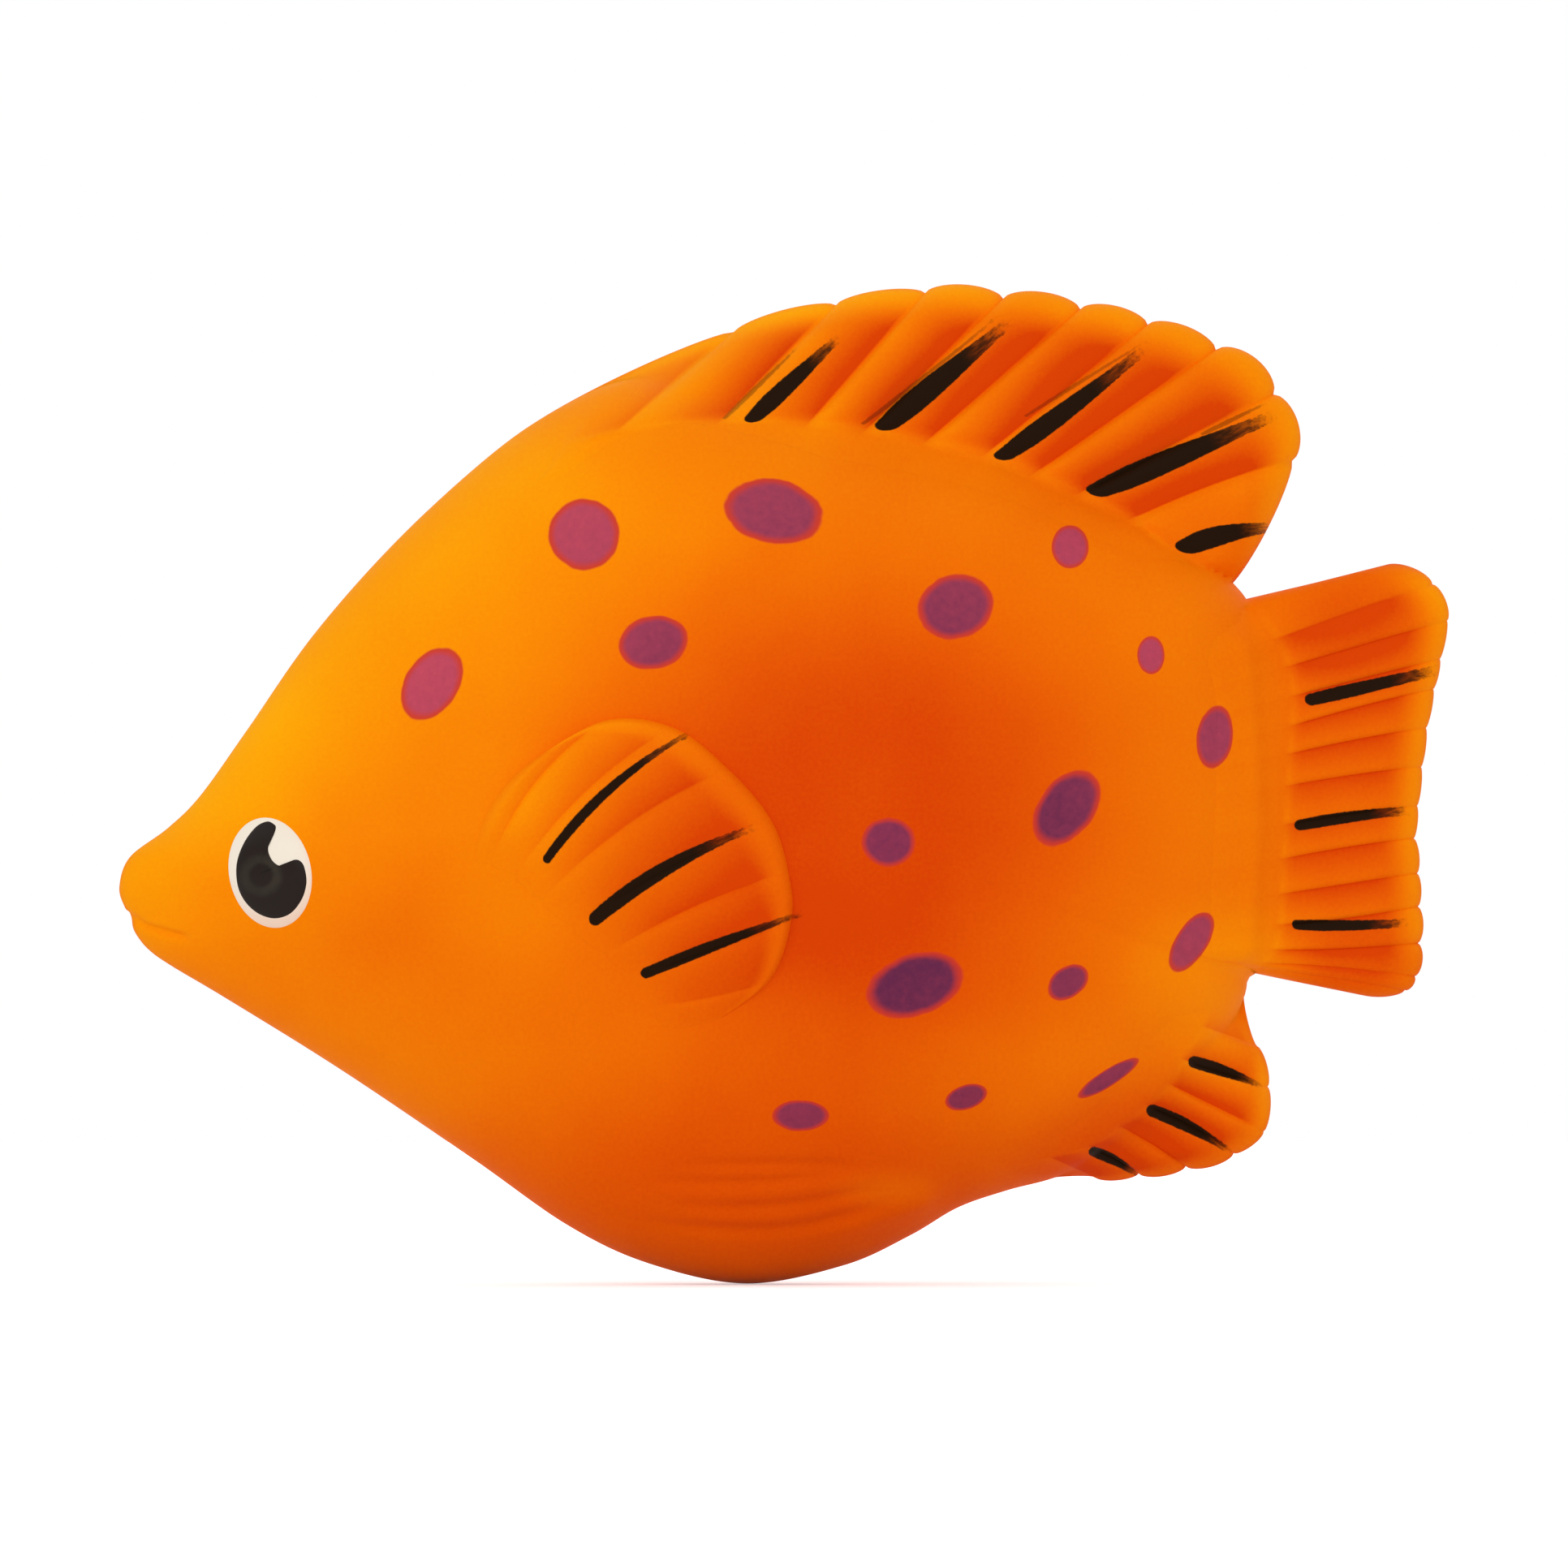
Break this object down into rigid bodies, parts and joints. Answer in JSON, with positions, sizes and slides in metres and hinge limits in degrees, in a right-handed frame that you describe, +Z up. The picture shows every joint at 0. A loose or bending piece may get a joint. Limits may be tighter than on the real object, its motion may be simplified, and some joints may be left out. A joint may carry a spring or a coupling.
{
  "type": "fish stress ball",
  "caption": "Fish-shaped foam stress ball: domed flanks that press in together, dorsal, tail and anal fins that bend at their roots, raised side fins and painted eyes.",
  "frame": {"origin": "under the middle of the toy, at the level of the flat under the belly", "axes": "+X from nose to tail, +Y from the left side to the right side, +Z up"},
  "size_m": [0.102, 0.042, 0.0767],
  "materials": {
    "body_skin": "satin self-skinned polyurethane foam, air-brushed orange",
    "fin_skin": "satin self-skinned polyurethane foam, orange with red-orange grooves",
    "foam": "open-cell polyurethane foam",
    "eye_paint": "semi-gloss white paint on foam",
    "pupil_paint": "semi-gloss black paint on foam"
  },
  "bodies": {
    "body": {"body_rim": "body_skin", "foam_core": "foam", "left_eye": "eye_paint", "right_eye": "eye_paint", "left_pupil": "pupil_paint", "right_pupil": "pupil_paint", "left_pelvic_fin": "fin_skin", "right_pelvic_fin": "fin_skin"},
    "left_side": {"left_flank": "body_skin", "left_pectoral_fin": "fin_skin"},
    "right_side": {"right_flank": "body_skin", "right_pectoral_fin": "fin_skin"},
    "dorsal": {"dorsal_fin": "fin_skin"},
    "tail": {"tail_fin": "fin_skin"},
    "anal": {"anal_fin": "fin_skin"}
  },
  "joints": [
    {"name": "left_squeeze", "type": "slide", "parent": "body", "child": "left_side", "axis": [0, 1, 0], "range_m": [0, 0.007], "stiffness_N_per_m": 2500, "deforming": ["foam_core"]},
    {"name": "right_squeeze", "type": "slide", "parent": "body", "child": "right_side", "axis": [0, -1, 0], "range_m": [0, 0.007], "stiffness_N_per_m": 2500, "deforming": ["foam_core"]},
    {"name": "dorsal_bend", "type": "hinge", "parent": "body", "child": "dorsal", "pos_m": [-0.00339, 0, 0.06904], "axis": [0.9387, 0, -0.3448], "range_deg": [-20, 20], "stiffness_Nm_per_rad": 0.04},
    {"name": "tail_bend", "type": "hinge", "parent": "body", "child": "tail", "pos_m": [0.03639, 0, 0.03719], "axis": [0, 0, 1], "range_deg": [-25, 25], "stiffness_Nm_per_rad": 0.04},
    {"name": "anal_bend", "type": "hinge", "parent": "body", "child": "anal", "pos_m": [0.0336, 0, 0.01957], "axis": [-0.7253, 0, -0.6885], "range_deg": [-20, 20], "stiffness_Nm_per_rad": 0.03}
  ],
  "couplings": [
    {"joint": "right_squeeze", "follows": "left_squeeze", "ratio": 1}
  ]
}
